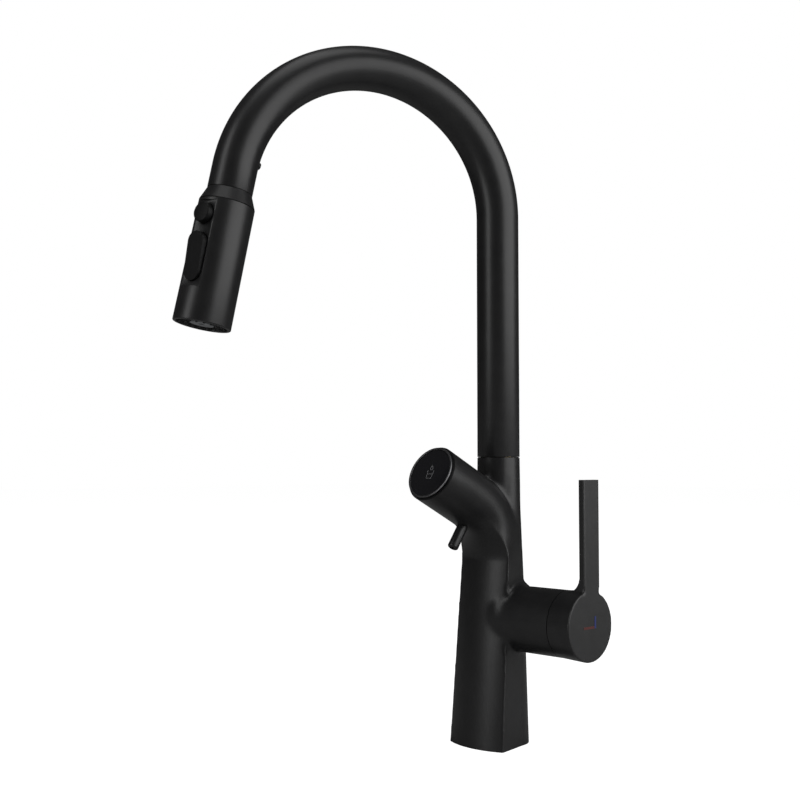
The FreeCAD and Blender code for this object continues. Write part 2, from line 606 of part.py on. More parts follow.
def spray_shell():
    """Tapered sleeve with a flat facet that carries the round button and the long rocker."""
    low = dim("cone_length") + dim("head_gap") + 0.1
    length = dim("head_length") - low
    top = dim("head_top_radius")
    bottom = dim("head_low_radius")
    wall = dim("head_wall")
    outer = Part.makeCone(top, bottom, length, UP * low)
    lip = outer.Edges
    rims = [edge for edge in lip if abs(edge.CenterOfMass.z - low - length) < 0.01]
    outer = outer.makeFillet(0.7, rims)
    inner = Part.makeCone(top - wall, bottom - wall, length + 2.0, UP * (low - 1.0))
    facet_low = low + 2.0
    facet_length = dim("facet_end") - facet_low
    flat = Part.makeBox(8.0, 40.0, facet_length, FreeCAD.Vector(dim("facet_distance"), -20, facet_low))
    tube = outer.cut([inner, flat])
    backing = Part.makeBox(2.2, 15.6, facet_length, FreeCAD.Vector(dim("facet_distance") - 2.2, -7.8, facet_low))
    tube = tube.fuse(backing)
    button_hole = Part.makeCylinder(dim("round_button_radius") + 0.3, 8.0,
                                    FreeCAD.Vector(12.0, 0, dim("round_button_place")), RIGHT)
    return tube.cut([button_hole, stadium(0.35, 12.0, 8.0)]).removeSplitter()


def stadium(margin, start, depth):
    """Long round-ended block at the rocker's place, standing out along local X."""
    width = dim("rocker_width") / 2 + margin
    half_run = dim("rocker_length") / 2 - dim("rocker_width") / 2
    middle = dim("rocker_place")
    block = Part.makeBox(depth, width * 2, half_run * 2, FreeCAD.Vector(start, -width, middle - half_run))
    ends = [Part.makeCylinder(width, depth, FreeCAD.Vector(start, 0, middle + offset), RIGHT)
            for offset in (-half_run, half_run)]
    return block.fuse(ends).removeSplitter()


def rocker():
    """Rocker pad with a soft edge and a cross bore for its pin."""
    start = 11.4
    stand = dim("facet_distance") + dim("button_stand")
    block = stadium(0.0, start, stand - start)
    slope = math.degrees(math.atan2(dim("button_stand") - dim("rocker_low_stand"), dim("rocker_length")))
    tilt = FreeCAD.Rotation(BACK, -slope)
    top_end = FreeCAD.Vector(stand, 0, dim("rocker_place") - dim("rocker_length") / 2)
    waste = Part.makeBox(10.0, 40.0, 60.0, FreeCAD.Vector(0, -20.0, -20.0))
    waste.Placement = FreeCAD.Placement(top_end, tilt)
    block = block.cut(waste)
    slant = tilt.multVec(RIGHT)
    face = max(block.Faces, key=lambda side: side.normalAt(0, 0).dot(slant))
    block = block.makeChamfer(1.0, face.Edges)
    bore = Part.makeCylinder(0.85, 40.0, FreeCAD.Vector(ROCKER_PIN_X, -20, dim("rocker_place")), BACK)
    return block.cut(bore)


ROCKER_PIN_X = 12.8

shaped("spray_shell", spray_shell(), HEAD)
shaped("rocker_switch", rocker(), HEAD)
pin = doc.addObject("Part::Cylinder", "rocker_pin")
pin.Radius = 0.8
pin.Height = 15.0
node(pin, "rocker_pin", HEAD.multiply(frame_at(
    FreeCAD.Vector(ROCKER_PIN_X, -7.5, dim("rocker_place")), BACK, RIGHT)))

PUSH = HEAD.multiply(frame_at(FreeCAD.Vector(0, 0, dim("round_button_place")), RIGHT, UP))
turned("round_button", [
    ("0", "12.6"), ("5.2", "12.6"), ("5.2", "14.4"), ("round_button_radius", "14.4"),
    ("round_button_radius", "facet_distance + 1.9"), ("5.5", "facet_distance + button_stand"),
    ("0", "facet_distance + button_stand"),
], PUSH)

turned("spray_core", [
    ("7.0", "12.0"), ("core_radius - 2.0", "12.0"), ("core_radius - 2.0", "72.0"), ("15.2", "72.0"),
    ("15.2", "76.0"), ("7.0", "76.0"),
], HEAD)
ring("diverter_body", "3.5", "6.9", "30.0", "64.0", HEAD)
turned("diverter_spool", [("0", "34.0"), ("3.2", "34.0"), ("3.2", "60.0"), ("0", "60.0")], HEAD)
ring("face_seal", "13.2", "15.2", "76.1", "78.0", HEAD)
ring("aerator", "2.0", "7.3", "76.2", "84.0", HEAD)


def ring_points(radius, count):
    return [FreeCAD.Vector(radius * math.cos(2 * math.pi * step / count),
                           radius * math.sin(2 * math.pi * step / count), 0) for step in range(count)]


NOZZLE_POINTS = ring_points(10.2, 14) + ring_points(13.6, 20)


def nozzle_pad():
    """Silicone pad whose soft nipples stand through the face plate."""
    pad = Part.makeCylinder(15.4, 2.2, UP * 78.2)
    nubs = [Part.makeCone(0.85, 0.6, 4.6, point + UP * 80.2) for point in NOZZLE_POINTS]
    bore = Part.makeCylinder(7.5, 10.0, UP * 76.0)
    return pad.fuse(nubs).cut(bore)


def face_plate():
    plate = Part.makeCylinder(15.6, 2.6, UP * 80.6)
    holes = [Part.makeCylinder(1.0, 8.0, point + UP * 78.0) for point in NOZZLE_POINTS]
    bore = Part.makeCylinder(7.6, 10.0, UP * 76.0)
    return plate.cut(holes + [bore])


shaped("nozzle_pad", nozzle_pad(), HEAD)
shaped("spray_face_plate", face_plate(), HEAD)

# ---------------------------------------------------------------- export

doc.recompute()
os.makedirs("parts", exist_ok=True)
for item in doc.Objects:
    if "Invalid" in item.State or "Error" in item.State:
        raise RuntimeError("%s did not rebuild: %s" % (item.Label, item.State))
for item in NODES:
    if item.Shape.isNull() or not item.Shape.isValid() or item.Shape.Volume <= 0:
        raise RuntimeError("%s has no valid solid" % item.Label)
    if len(item.Shape.Solids) != 1:
        raise RuntimeError("%s has %d solids" % (item.Label, len(item.Shape.Solids)))
for item in NODES:
    item.Shape.exportStep("parts/%s.step" % item.Label)
print("%d sub-parts written" % len(NODES))
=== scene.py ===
import bpy
import bmesh
import json
import math
from mathutils import Matrix, Vector


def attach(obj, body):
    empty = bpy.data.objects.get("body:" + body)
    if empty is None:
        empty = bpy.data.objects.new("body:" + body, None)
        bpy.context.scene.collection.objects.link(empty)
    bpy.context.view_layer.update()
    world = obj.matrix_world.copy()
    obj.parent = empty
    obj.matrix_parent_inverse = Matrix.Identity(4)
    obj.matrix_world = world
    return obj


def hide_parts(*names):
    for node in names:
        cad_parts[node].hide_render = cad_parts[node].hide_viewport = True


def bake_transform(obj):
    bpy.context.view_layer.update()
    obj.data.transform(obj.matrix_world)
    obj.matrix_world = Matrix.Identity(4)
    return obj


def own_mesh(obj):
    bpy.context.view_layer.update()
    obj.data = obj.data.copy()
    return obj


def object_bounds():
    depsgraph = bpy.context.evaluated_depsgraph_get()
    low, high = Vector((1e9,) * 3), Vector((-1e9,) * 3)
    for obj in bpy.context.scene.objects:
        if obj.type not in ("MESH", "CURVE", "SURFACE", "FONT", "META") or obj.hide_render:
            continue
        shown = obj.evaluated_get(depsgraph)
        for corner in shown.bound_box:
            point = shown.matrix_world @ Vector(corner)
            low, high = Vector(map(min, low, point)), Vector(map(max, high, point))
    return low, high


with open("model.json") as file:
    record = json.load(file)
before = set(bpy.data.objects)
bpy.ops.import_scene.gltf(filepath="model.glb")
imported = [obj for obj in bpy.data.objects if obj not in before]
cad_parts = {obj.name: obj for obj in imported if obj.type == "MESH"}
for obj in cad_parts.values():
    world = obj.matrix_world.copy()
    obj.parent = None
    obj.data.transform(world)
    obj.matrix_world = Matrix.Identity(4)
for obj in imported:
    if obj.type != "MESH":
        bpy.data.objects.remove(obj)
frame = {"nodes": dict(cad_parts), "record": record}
cad_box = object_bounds()

# ---------------------------------------------------------------------------
# The studio: a pale worktop that runs off out of sight, two tall soft boxes
# left and right of the faucet, and a weaker soft box above.
# ---------------------------------------------------------------------------
LOW, HIGH = [Vector(corner) for corner in cad_box]
MIDDLE = (LOW + HIGH) / 2
CAMERA_PLACE = Vector((0.5150, -0.5900, 0.1830))
CAMERA_LINE = Vector((-0.7174, 0.6947, 0.0529))
CAMERA_LENS = 52.67


def drop_selection():
    if bpy.context.object and bpy.context.object.mode != "OBJECT":
        bpy.ops.object.mode_set(mode="OBJECT")
    bpy.ops.object.select_all(action="DESELECT")


def worktop():
    drop_selection()
    bpy.ops.mesh.primitive_plane_add(size=14.0, location=(0.0, 0.0, 0.0))
    top = bpy.context.object
    top.name = "worktop"
    paint = bpy.data.materials.new("pale_worktop")
    paint.use_nodes = True
    nodes, links = paint.node_tree.nodes, paint.node_tree.links
    shader = nodes["Principled BSDF"]
    grain = nodes.new("ShaderNodeTexNoise")
    grain.inputs["Scale"].default_value = 9.0
    tint = nodes.new("ShaderNodeValToRGB")
    tint.color_ramp.elements[0].color = (0.48, 0.48, 0.48, 1.0)
    tint.color_ramp.elements[1].color = (0.52, 0.52, 0.52, 1.0)
    links.new(grain.outputs["Fac"], tint.inputs["Fac"])
    links.new(tint.outputs["Color"], shader.inputs["Base Color"])
    shader.inputs["Roughness"].default_value = 0.9
    shader.inputs["Specular IOR Level"].default_value = 0.0
    glow = nodes.new("ShaderNodeEmission")
    glow.inputs["Strength"].default_value = 0.97
    bright = nodes.new("ShaderNodeAddShader")
    links.new(shader.outputs["BSDF"], bright.inputs[0])
    links.new(glow.outputs["Emission"], bright.inputs[1])
    seen = nodes.new("ShaderNodeLightPath")
    choose = nodes.new("ShaderNodeMixShader")
    links.new(seen.outputs["Is Camera Ray"], choose.inputs["Fac"])
    links.new(shader.outputs["BSDF"], choose.inputs[1])
    links.new(bright.outputs["Shader"], choose.inputs[2])
    links.new(choose.outputs["Shader"], nodes["Material Output"].inputs["Surface"])
    top.data.materials.append(paint)


def soft_box(name, place, aim, width, height, power):
    lamp = bpy.data.lights.new(name, "AREA")
    lamp.shape = "RECTANGLE"
    lamp.size = width
    lamp.size_y = height
    lamp.energy = power
    holder = bpy.data.objects.new(name, lamp)
    bpy.context.collection.objects.link(holder)
    holder.location = place
    holder.rotation_euler = (aim - place).to_track_quat("-Z", "Y").to_euler()


def round_from_camera(angle, distance, height):
    """A place at an angle to the right of the camera's line, seen from above the faucet."""
    toward = Vector((-CAMERA_LINE.x, -CAMERA_LINE.y, 0.0)).normalized()
    turned = Matrix.Rotation(math.radians(angle), 3, "Z") @ toward
    return Vector((0.0, 0.0, height)) + turned * distance


worktop()
AIM = Vector((0.0, -0.03, 0.22))
soft_box("left_box", round_from_camera(-57.0, 1.5, 0.55), AIM, 0.45, 1.9, 7.0)
soft_box("right_box", round_from_camera(62.0, 1.5, 0.55), AIM, 1.9, 1.9, 24.0)
soft_box("top_box", Vector((0.1, -0.3, 1.9)), AIM, 1.2, 1.2, 6.0)

sky = bpy.data.worlds.new("studio")
bpy.context.scene.world = sky
sky.use_nodes = True
sky_nodes, sky_links = sky.node_tree.nodes, sky.node_tree.links
room = sky_nodes["Background"]
room.inputs["Color"].default_value = (1.0, 1.0, 1.0, 1.0)
room.inputs["Strength"].default_value = 0.05
paper = sky_nodes.new("ShaderNodeBackground")
paper.inputs["Color"].default_value = (1.0, 1.0, 1.0, 1.0)
paper.inputs["Strength"].default_value = 1.0
seen = sky_nodes.new("ShaderNodeLightPath")
choose = sky_nodes.new("ShaderNodeMixShader")
sky_links.new(seen.outputs["Is Camera Ray"], choose.inputs["Fac"])
sky_links.new(room.outputs["Background"], choose.inputs[1])
sky_links.new(paper.outputs["Background"], choose.inputs[2])
sky_links.new(choose.outputs["Shader"], sky_nodes["World Output"].inputs["Surface"])

lens = bpy.data.cameras.new("camera")
lens.lens = CAMERA_LENS
lens.sensor_width = 36.0
camera = bpy.data.objects.new("camera", lens)
bpy.context.collection.objects.link(camera)
camera.location = CAMERA_PLACE
camera.rotation_euler = CAMERA_LINE.to_track_quat("-Z", "Y").to_euler()
bpy.context.scene.camera = camera
bpy.context.scene.view_settings.view_transform = "Standard"


# ---------------------------------------------------------------------------
# Finishes of the carried-over parts. Every one has a fine grain in its colour
# and gloss, at the scale of the real material.
# ---------------------------------------------------------------------------
def surface_finish(name, dark, light, roughness, metal=0.0, grain=900.0, depth=0.05, stretch=(1, 1, 1)):
    """A material whose colour wanders between two tones and whose gloss and relief have a grain."""
    paint = bpy.data.materials.new(name)
    paint.use_nodes = True
    nodes, links = paint.node_tree.nodes, paint.node_tree.links
    shader = nodes["Principled BSDF"]
    place = nodes.new("ShaderNodeTexCoord")
    turn = nodes.new("ShaderNodeMapping")
    turn.inputs["Scale"].default_value = stretch
    links.new(place.outputs["Object"], turn.inputs["Vector"])
    fine = nodes.new("ShaderNodeTexNoise")
    fine.inputs["Scale"].default_value = grain
    fine.inputs["Detail"].default_value = 3.0
    broad = nodes.new("ShaderNodeTexNoise")
    broad.inputs["Scale"].default_value = grain / 25.0
    broad.inputs["Detail"].default_value = 2.0
    for noise in (fine, broad):
        links.new(turn.outputs["Vector"], noise.inputs["Vector"])
    tone = nodes.new("ShaderNodeValToRGB")
    tone.color_ramp.elements[0].position = 0.35
    tone.color_ramp.elements[0].color = (*dark, 1.0)
    tone.color_ramp.elements[1].position = 0.65
    tone.color_ramp.elements[1].color = (*light, 1.0)
    links.new(broad.outputs["Fac"], tone.inputs["Fac"])
    links.new(tone.outputs["Color"], shader.inputs["Base Color"])
    gloss = nodes.new("ShaderNodeMapRange")
    gloss.inputs["To Min"].default_value = roughness - 0.04
    gloss.inputs["To Max"].default_value = roughness + 0.04
    links.new(fine.outputs["Fac"], gloss.inputs["Value"])
    links.new(gloss.outputs["Result"], shader.inputs["Roughness"])
    relief = nodes.new("ShaderNodeBump")
    relief.inputs["Strength"].default_value = depth
    relief.inputs["Distance"].default_value = 0.0002
    links.new(fine.outputs["Fac"], relief.inputs["Height"])
    links.new(relief.outputs["Normal"], shader.inputs["Normal"])
    shader.inputs["Metallic"].default_value = metal
    return paint


FINISHES = {}
for name, dark, light, roughness, relief in (
    ("black_coat", (0.010, 0.010, 0.0105), (0.013, 0.013, 0.0135), 0.36,
     {"grain": 2600.0, "depth": 0.10}),
    ("grey_coat", (0.012, 0.012, 0.0125), (0.016, 0.016, 0.0165), 0.34,
     {"grain": 2600.0, "depth": 0.08}),
    ("black_plastic", (0.0030, 0.0030, 0.0033), (0.0045, 0.0045, 0.0048), 0.46,
     {"grain": 1800.0, "depth": 0.15}),
    ("gloss_cap", (0.010, 0.010, 0.012), (0.014, 0.014, 0.016), 0.16,
     {"grain": 700.0, "depth": 0.02}),
    ("trim", (0.17, 0.17, 0.175), (0.22, 0.22, 0.225), 0.36,
     {"metal": 1.0, "grain": 1500.0, "depth": 0.06}),
    ("brass", (0.66, 0.48, 0.21), (0.76, 0.58, 0.30), 0.32,
     {"metal": 1.0, "grain": 700.0, "depth": 0.1}),
    ("steel", (0.50, 0.50, 0.51), (0.62, 0.62, 0.63), 0.28,
     {"metal": 1.0, "grain": 900.0, "depth": 0.08}),
    ("copper_tube", (0.70, 0.36, 0.22), (0.80, 0.46, 0.30), 0.30,
     {"metal": 1.0, "grain": 600.0, "depth": 0.06}),
    ("rubber", (0.018, 0.018, 0.018), (0.030, 0.030, 0.030), 0.72,
     {"grain": 1600.0, "depth": 0.3}),
    ("silicone", (0.018, 0.018, 0.019), (0.026, 0.026, 0.027), 0.55,
     {"grain": 1100.0, "depth": 0.15}),
    ("nylon", (0.72, 0.71, 0.68), (0.80, 0.79, 0.76), 0.5,
     {"grain": 800.0, "depth": 0.1}),
    ("grey_plastic", (0.20, 0.21, 0.22), (0.27, 0.28, 0.29), 0.48,
     {"grain": 1000.0, "depth": 0.15}),
    ("magnet", (0.16, 0.16, 0.17), (0.24, 0.24, 0.25), 0.35,
     {"metal": 1.0, "grain": 1200.0, "depth": 0.1}),
    ("hose_braid", (0.03, 0.03, 0.032), (0.07, 0.07, 0.072), 0.6,
     {"grain": 900.0, "depth": 0.5}),
    ("red_mark", (0.070, 0.010, 0.008), (0.095, 0.013, 0.010), 0.35,
     {"grain": 900.0, "depth": 0.05}),
    ("blue_mark", (0.01, 0.02, 0.14), (0.012, 0.03, 0.19), 0.35,
     {"grain": 900.0, "depth": 0.05}),
):
    FINISHES[name] = surface_finish(name, dark, light, roughness, **relief)

# The push buttons are moulded, duller than the powder coat around them.
button_shader = FINISHES["black_plastic"].node_tree.nodes["Principled BSDF"]
button_shader.inputs["Specular IOR Level"].default_value = 0.2

for part in frame["record"]["subparts"]:
    part_object = frame["nodes"][part["node"]]
    part_object.data.materials.clear()
    part_object.data.materials.append(FINISHES[part["material_slot"]])


# ---------------------------------------------------------------------------
# Body casting: one hollow zinc casting, powder coated matt black. A trunk with
# two crisp front arrises leans back from the foot and curls forward into the
# round nozzle barrel; the handle boss leaves it on the right, all softly blended.
# ---------------------------------------------------------------------------
FOOT_HALF_WIDTH, FOOT_FORWARD, FOOT_BULGE = 0.02297, 0.02327, 0.0058
WAIST_HALF_WIDTH, WAIST_FORWARD, WAIST_BULGE, WAIST_HEIGHT = 0.0208, 0.0152, 0.0046, 0.105
COLUMN_RADII = ((0.0191, 0.0), (0.0163, 0.105), (0.01445, 0.152), (0.0140, 0.1858))
SEAM_HEIGHT = 0.1858
BARREL_RADIUS, BARREL_RISE, RIM_SETBACK = 0.0185, math.radians(26.33), 0.0022
RING_PLACE = Vector((0.0, -0.0653, 0.1766))
BARREL_OUT = Vector((0.0, -math.cos(BARREL_RISE), math.sin(BARREL_RISE)))
BARREL_DOWN = Vector((0.0, -math.sin(BARREL_RISE), -math.cos(BARREL_RISE)))
BEND_FORWARD, BEND_RADIUS = 0.006, 0.045
BOSS_HEIGHT, BOSS_RADIUS, BOSS_END = 0.0816, 0.02115, 0.0565
RIGHT, UP, FRONT = Vector((1, 0, 0)), Vector((0, 0, 1)), Vector((0, -1, 0))
OVERRUN = 0.006


def arc_through(first, middle, last, steps):
    """Points on the circle through three points, without the last one."""
    ax, ay = first
    bx, by = middle
    cx, cy = last
    size = 2 * (ax * (by - cy) + bx * (cy - ay) + cx * (ay - by))
    ux = ((ax ** 2 + ay ** 2) * (by - cy) + (bx ** 2 + by ** 2) * (cy - ay) + (cx ** 2 + cy ** 2) * (ay - by)) / size
    uy = ((ax ** 2 + ay ** 2) * (cx - bx) + (bx ** 2 + by ** 2) * (ax - cx) + (cx ** 2 + cy ** 2) * (bx - ax)) / size
    radius = math.hypot(ax - ux, ay - uy)
    start = math.atan2(ay - uy, ax - ux)
    through = (math.atan2(by - uy, bx - ux) - start) % math.tau
    sweep = (math.atan2(cy - uy, cx - ux) - start) % math.tau
    if through > sweep:
        sweep -= math.tau
    return [(ux + radius * math.cos(start + sweep * step / steps),
             uy + radius * math.sin(start + sweep * step / steps))
            for step in range(steps)]


def column_radius(height):
    share = height / WAIST_HEIGHT
    return COLUMN_RADII[0][0] + (COLUMN_RADII[1][0] - COLUMN_RADII[0][0]) * share


def trunk_marks(height):
    """Nose, arris, side, rear corner and rear point of a level section, as (across, forward)."""
    share = height / WAIST_HEIGHT
    half_width = FOOT_HALF_WIDTH + (WAIST_HALF_WIDTH - FOOT_HALF_WIDTH) * share
    forward = FOOT_FORWARD + (WAIST_FORWARD - FOOT_FORWARD) * share
    bulge = FOOT_BULGE + (WAIST_BULGE - FOOT_BULGE) * share
    column = column_radius(height)
    bearing = math.acos(column / math.hypot(half_width, forward)) - math.atan2(forward, half_width)
    hidden = column * 0.985
    corner = (hidden * math.cos(bearing), -hidden * math.sin(bearing))
    side = ((half_width + corner[0]) / 2 + 0.00004, (forward + corner[1]) / 2)
    return [(0.0, forward + bulge), (half_width, forward), side, corner, (0.0, -hidden * 0.97)]


def section_points(marks, centre, forward):
    """The whole closed section, both sides, as points in space."""
    nose, arris, side, corner, rear = marks
    mirror = [(-across, ahead) for across, ahead in marks]
    flat = arc_through(mirror[1], nose, arris, 30)
    flat += arc_through(arris, side, corner, 18)
    flat += arc_through(corner, rear, mirror[3], 26)
    flat += arc_through(mirror[3], mirror[2], mirror[1], 18)
    return [centre + RIGHT * across + forward * ahead for across, ahead in flat]


def skin_over(name, sections):
    """A closed mesh over a row of sections that all have the same number of points."""
    skin = bmesh.new()
    rows = [[skin.verts.new(point) for point in section] for section in sections]
    count = len(rows[0])
    for low, high in zip(rows, rows[1:]):
        for index in range(count):
            after = (index + 1) % count
            skin.faces.new((low[index], low[after], high[after], high[index]))
    skin.faces.new(list(reversed(rows[0])))
    skin.faces.new(rows[-1])
    bmesh.ops.recalc_face_normals(skin, faces=skin.faces)
    mesh = bpy.data.meshes.new(name)
    skin.to_mesh(mesh)
    skin.free()
    piece = bpy.data.objects.new(name, mesh)
    bpy.context.collection.objects.link(piece)
    return piece


def trunk_and_barrel():
    crossing = (-RING_PLACE.y - BEND_FORWARD) / math.cos(BARREL_RISE)
    turn = math.pi / 2 - BARREL_RISE
    setback = BEND_RADIUS * math.tan(turn / 2)
    bend_start = RING_PLACE.z - crossing * math.sin(BARREL_RISE) - setback
    sections = [section_points(trunk_marks(bend_start * step / 24), UP * (bend_start * step / 24), FRONT)
                for step in range(24)]
    sections.insert(0, section_points(trunk_marks(-OVERRUN), UP * -OVERRUN, FRONT))
    waist = [(across, ahead - BEND_FORWARD) for across, ahead in trunk_marks(bend_start)]
    ring_angles = [math.radians(angle) for angle in (0, 52, 85, 118, 180)]
    barrel = [(BARREL_RADIUS * math.sin(angle), BARREL_RADIUS * math.cos(angle)) for angle in ring_angles]
    for step in range(25):
        share = step / 24
        angle = turn * share
        blend = share * share * (3 - 2 * share)
        centre = Vector((0.0, -BEND_FORWARD - BEND_RADIUS * (1 - math.cos(angle)),
                         bend_start + BEND_RADIUS * math.sin(angle)))
        forward = Vector((0.0, -math.cos(angle), -math.sin(angle)))
        marks = [(a[0] + (b[0] - a[0]) * blend, a[1] + (b[1] - a[1]) * blend) for a, b in zip(waist, barrel)]
        sections.append(section_points(marks, centre, forward))
    for step in range(1, 9):
        reach = (crossing - setback) * (1 - step / 8) - OVERRUN * step / 8
        sections.append(section_points(barrel, RING_PLACE - BARREL_OUT * reach, BARREL_DOWN))
    return skin_over("body_casting", sections)


def solid_rod(name, start, along, radius, length, sides=128):
    """A plain round bar, used to add to or cut from a piece."""
    drop_selection()
    bpy.ops.mesh.primitive_cylinder_add(vertices=sides, radius=radius, depth=length)
    rod = bpy.context.object
    rod.name = name
    rod.data.transform(Matrix.Translation((0, 0, length / 2)))
    rod.data.transform(Matrix.Translation(start) @ along.to_track_quat("Z", "Y").to_matrix().to_4x4())
    return rod


def combine(piece, other, operation):
    """Adds or cuts another closed shape, which is used up."""
    drop_selection()
    bpy.context.view_layer.objects.active = piece
    piece.select_set(True)
    join = piece.modifiers.new("join", "BOOLEAN")
    join.operation = operation
    join.solver = "EXACT"
    join.object = other
    bpy.ops.object.modifier_apply(modifier="join")
    bpy.data.objects.remove(other)


def remesh_fine(piece, voxel):
    drop_selection()
    bpy.context.view_layer.objects.active = piece
    piece.select_set(True)
    mesher = piece.modifiers.new("mesher", "REMESH")
    mesher.mode = "VOXEL"
    mesher.voxel_size = voxel
    bpy.ops.object.modifier_apply(modifier="mesher")


def relax(piece, rounds, weight_of=None):
    """Smooths a piece, all over or by a weight worked out at each point."""
    drop_selection()
    bpy.context.view_layer.objects.active = piece
    piece.select_set(True)
    softener = piece.modifiers.new("softener", "SMOOTH")
    softener.factor = 0.5
    softener.iterations = rounds
    if weight_of is not None:
        group = piece.vertex_groups.new(name="blend")
        for vertex in piece.data.vertices:
            amount = weight_of(vertex.co)
            if amount > 0.01:
                group.add([vertex.index], amount, "REPLACE")
        softener.vertex_group = group.name
    bpy.ops.object.modifier_apply(modifier="softener")
    piece.vertex_groups.clear()


def slice_off(piece, place, outward):
    """Cuts the piece flat at a plane and closes the cut; what lies outward goes."""
    drop_selection()
    bpy.context.view_layer.objects.active = piece
    piece.select_set(True)
    bpy.ops.object.mode_set(mode="EDIT")
    bpy.ops.mesh.select_all(action="SELECT")
    bpy.ops.mesh.bisect(plane_co=place, plane_no=outward, use_fill=True, clear_outer=True,
                        threshold=0.000002)
    bpy.ops.object.mode_set(mode="OBJECT")


def finish_smooth(piece, angle=40.0):
    drop_selection()
    bpy.context.view_layer.objects.active = piece
    piece.select_set(True)
    bpy.ops.object.shade_smooth_by_angle(angle=math.radians(angle))


def column_bar():
    """The round column behind the trunk, tapering to the gooseneck's size."""
    heights = [(COLUMN_RADII[0][0] + 0.00016, -OVERRUN)] + list(COLUMN_RADII[1:])
    heights.append((COLUMN_RADII[-1][0], SEAM_HEIGHT + OVERRUN))
    sections = []
    for (low_radius, low), (high_radius, high) in zip(heights, heights[1:]):
        for step in range(12):
            share = step / 12
            radius = low_radius + (high_radius - low_radius) * share
            height = low + (high - low) * share
            sections.append([Vector((radius * math.cos(math.tau * k / 128),
                                     radius * math.sin(math.tau * k / 128), height))
                             for k in range(128)])
    return skin_over("column_bar", sections)


def near_two(first, second, reach):
    """1 on the line where two surfaces meet, falling to 0 at a distance."""
    apart = max(abs(first), abs(second))
    return max(0.0, 1.0 - apart / reach) ** 0.5


def junction_weight(point):
    boss_gap = math.hypot(point.y, point.z - BOSS_HEIGHT) - BOSS_RADIUS
    side_gap = point.x - 0.0195
    boss = near_two(boss_gap, side_gap, 0.0075) if point.x > 0.008 else 0.0
    column_gap = math.hypot(point.x, point.y) - 0.0143
    out = (point - RING_PLACE).dot(BARREL_OUT)
    off_line = (point - RING_PLACE - BARREL_OUT * out).length - BARREL_RADIUS
    valley = near_two(column_gap, off_line, 0.0085) if point.z > 0.125 else 0.0
    forward_share = max(0.0, min(1.0, (-point.y - 0.006) / 0.004))
    inward_share = max(0.0, min(1.0, (0.020 - point.x) / 0.003))
    front = forward_share * inward_share
    cheek = front * near_two(boss_gap, 0.0, 0.0065) if point.x > -0.006 else 0.0
    return max(boss, valley, cheek)


casting = trunk_and_barrel()
combine(casting, column_bar(), "UNION")
BOSS_START = 0.004
boss_bar = solid_rod("boss_bar", Vector((BOSS_START, 0.0, BOSS_HEIGHT)), RIGHT, BOSS_RADIUS,
                     BOSS_END + OVERRUN - BOSS_START)
combine(casting, boss_bar, "UNION")
BOSS_ROOT = ((0.010, 0.0212, 0.0036), (0.0152, 0.0212, 0.0036), (0.0180, 0.0207, 0.0013),
             (0.0214, 0.0205, 0.0))
boss_root = skin_over("boss_root", [
    [Vector((x, radius * math.cos(math.tau * k / 96), BOSS_HEIGHT + lift + radius * math.sin(math.tau * k / 96)))
     for k in range(96)]
    for x, radius, lift in BOSS_ROOT])
combine(casting, boss_root, "UNION")
remesh_fine(casting, 0.00078)
relax(casting, 70, junction_weight)
relax(casting, 5)
slice_off(casting, (0, 0, 0), (0, 0, -1))
# The barrel rises above the seam, so only the column is cut there.
SEAM_CUT_RADIUS = 0.0165
combine(casting, solid_rod("seam_cut", Vector((0, 0, SEAM_HEIGHT)), UP, SEAM_CUT_RADIUS, 0.03), "DIFFERENCE")
slice_off(casting, (BOSS_END, 0, BOSS_HEIGHT), (1, 0, 0))
slice_off(casting, tuple(RING_PLACE - BARREL_OUT * RIM_SETBACK), tuple(BARREL_OUT))
combine(casting, solid_rod("socket", Vector((0, 0, -0.001)), UP, 0.0152, 0.024), "DIFFERENCE")
combine(casting, solid_rod("boss_bore", Vector((0.0445, 0, BOSS_HEIGHT)), RIGHT, 0.0173, 0.02), "DIFFERENCE")
combine(casting, solid_rod("barrel_bore", RING_PLACE - BARREL_OUT * 0.0151, BARREL_OUT, 0.0167, 0.02), "DIFFERENCE")
combine(casting, solid_rod("column_bore", Vector((0, 0, SEAM_HEIGHT - 0.01)), UP, 0.0120, 0.02), "DIFFERENCE")
casting.data.materials.clear()
casting.data.materials.append(FINISHES["black_coat"])
finish_smooth(casting)
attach(casting, "faucet_body")
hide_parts("body_shell")

# ---------------------------------------------------------------------------
# Gooseneck: one drawn and bent tube, 28 mm across with a 1.2 mm wall. It stands
# on the body, turns over in a wide arc and ends where the spray head docks.
# ---------------------------------------------------------------------------
TUBE_RADIUS, TUBE_WALL, TUBE_START = 0.0140, 0.0012, 0.1864
ARC_RADIUS, ARC_HEIGHT, ARC_SWEEP, END_LENGTH = 0.09125, 0.34567, math.radians(168.6), 0.0156
SPOUT_TURN = math.radians(21.83)
OUTWARD = Vector((-math.sin(SPOUT_TURN), -math.cos(SPOUT_TURN), 0.0))
ARC_CENTRE = OUTWARD * ARC_RADIUS + UP * ARC_HEIGHT
ARC_AXIS = UP.cross(OUTWARD)
HEAD_DOWN = OUTWARD * math.sin(ARC_SWEEP) + UP * math.cos(ARC_SWEEP)
ARC_END = ARC_CENTRE + (UP * math.sin(ARC_SWEEP) - OUTWARD * math.cos(ARC_SWEEP)) * ARC_RADIUS
TUBE_END = ARC_END + HEAD_DOWN * END_LENGTH


